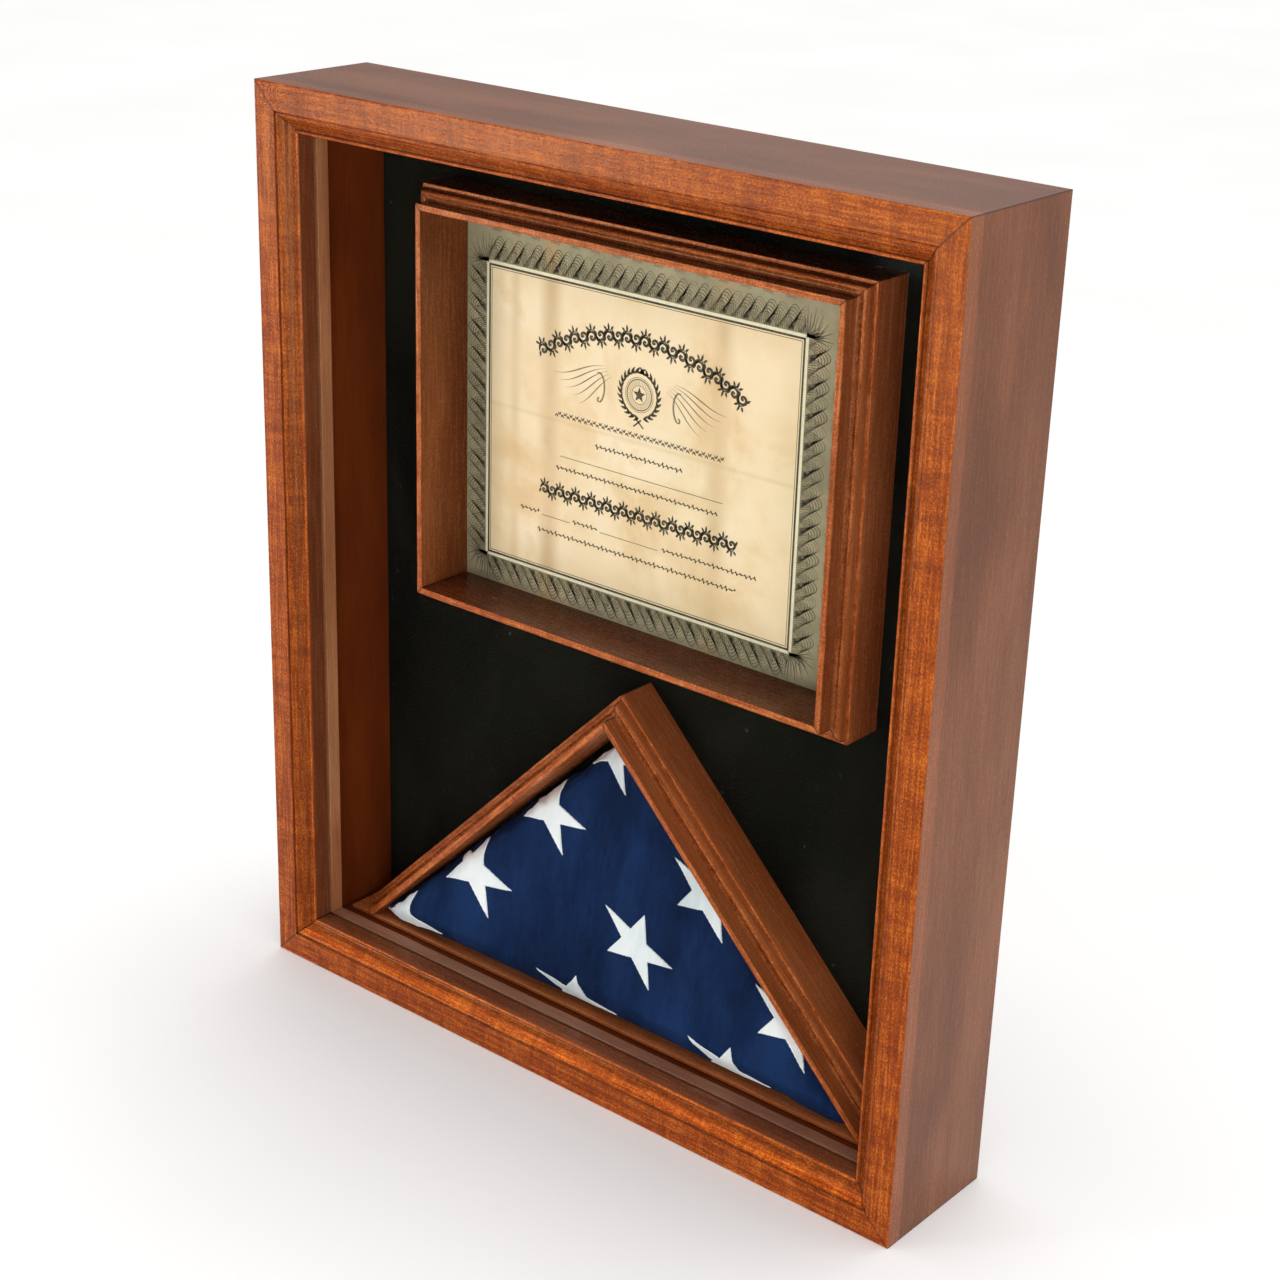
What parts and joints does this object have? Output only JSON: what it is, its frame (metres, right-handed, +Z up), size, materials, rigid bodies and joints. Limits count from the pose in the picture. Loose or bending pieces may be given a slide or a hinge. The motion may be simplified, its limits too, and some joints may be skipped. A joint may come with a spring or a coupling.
{
  "type": "folded flag display case",
  "caption": "Deep mitred wooden wall or shelf case with a glass front, a velvet insert, a document frame and a triangular frame holding a folded flag.",
  "frame": {"origin": "on the surface the case stands on, in the middle of its footprint with the wall bumpers", "axes": "+X to the case's right seen from the front, -Y out of the glass front, +Z up"},
  "size_m": [0.4572, 0.0908, 0.5334],
  "materials": {
    "case_wood": "satin lacquered cherry-stained hardwood",
    "stop_wood": "satin, paler than the case",
    "liner_wood": "satin stained hardwood",
    "frame_wood": "satin lacquered cherry-stained hardwood",
    "glass": "clear",
    "black_velvet": "short black pile",
    "insert_board": "raw hardboard",
    "rear_board": "smooth hardboard",
    "mount_card": "matt card",
    "parchment": "printed parchment paper",
    "flag_cloth": "navy cotton with white applique stars",
    "brass": "satin",
    "brass_screw": "satin",
    "zinc_steel": "zinc plated",
    "screw_steel": "yellow zinc plated",
    "nickel_steel": "nickel plated",
    "bumper_rubber": "matt black"
  },
  "bodies": {
    "case": {"top_rail": "case_wood", "bottom_rail": "case_wood", "left_stile": "case_wood", "right_stile": "case_wood", "case_v_nails": "zinc_steel", "glass_pane": "glass", "glass_stop_top": "stop_wood", "glass_stop_bottom": "stop_wood", "glass_stop_left": "stop_wood", "glass_stop_right": "stop_wood", "liner_top": "liner_wood", "liner_bottom": "liner_wood", "liner_left": "liner_wood", "liner_right": "liner_wood", "turn_button_screws": "brass_screw", "hanger_strap_left": "nickel_steel", "hanger_strap_right": "nickel_steel", "hanger_screws": "screw_steel", "wall_bumpers": "bumper_rubber"},
    "insert": {"velvet_lining": "black_velvet", "velvet_board": "insert_board", "rear_panel": "rear_board", "document_frame_top": "frame_wood", "document_frame_bottom": "frame_wood", "document_frame_left": "frame_wood", "document_frame_right": "frame_wood", "document_frame_v_nails": "zinc_steel", "document_card": "mount_card", "certificate": "parchment", "document_frame_screws": "screw_steel", "flag_frame_left_leg": "frame_wood", "flag_frame_right_leg": "frame_wood", "flag_frame_base": "frame_wood", "flag_frame_v_nail": "zinc_steel", "flag_frame_screws": "screw_steel", "folded_flag": "flag_cloth"},
    "turn_button_left_low": {"turn_button_left_low": "brass"},
    "turn_button_left_high": {"turn_button_left_high": "brass"},
    "turn_button_right_low": {"turn_button_right_low": "brass"},
    "turn_button_right_high": {"turn_button_right_high": "brass"},
    "turn_button_top": {"turn_button_top": "brass"},
    "turn_button_bottom": {"turn_button_bottom": "brass"},
    "hanger_ring_left": {"hanger_ring_left": "nickel_steel"},
    "hanger_ring_right": {"hanger_ring_right": "nickel_steel"}
  },
  "joints": [
    {"name": "insert_slide", "type": "slide", "parent": "case", "child": "insert", "axis": [0, 1, 0], "range_m": [0, 0.08]},
    {"name": "turn_button_left_low_turn", "type": "hinge", "parent": "case", "child": "turn_button_left_low", "pos_m": [-0.2191, 0.04175, 0.16002], "axis": [0, -1, 0], "range_deg": [0, 90]},
    {"name": "turn_button_left_high_turn", "type": "hinge", "parent": "case", "child": "turn_button_left_high", "pos_m": [-0.2191, 0.04175, 0.37338], "axis": [0, -1, 0], "range_deg": [0, 90]},
    {"name": "turn_button_right_low_turn", "type": "hinge", "parent": "case", "child": "turn_button_right_low", "pos_m": [0.2191, 0.04175, 0.16002], "axis": [0, 1, 0], "range_deg": [0, 90]},
    {"name": "turn_button_right_high_turn", "type": "hinge", "parent": "case", "child": "turn_button_right_high", "pos_m": [0.2191, 0.04175, 0.37338], "axis": [0, 1, 0], "range_deg": [0, 90]},
    {"name": "turn_button_top_turn", "type": "hinge", "parent": "case", "child": "turn_button_top", "pos_m": [0, 0.04175, 0.5239], "axis": [0, 1, 0], "range_deg": [0, 90]},
    {"name": "turn_button_bottom_turn", "type": "hinge", "parent": "case", "child": "turn_button_bottom", "pos_m": [0, 0.04175, 0.0095], "axis": [0, -1, 0], "range_deg": [0, 90]},
    {"name": "hanger_ring_left_swing", "type": "hinge", "parent": "case", "child": "hanger_ring_left", "pos_m": [-0.2191, 0.04265, 0.48006], "axis": [1, 0, 0], "range_deg": [0, 180]},
    {"name": "hanger_ring_right_swing", "type": "hinge", "parent": "case", "child": "hanger_ring_right", "pos_m": [0.2191, 0.04265, 0.48006], "axis": [1, 0, 0], "range_deg": [0, 180]}
  ]
}
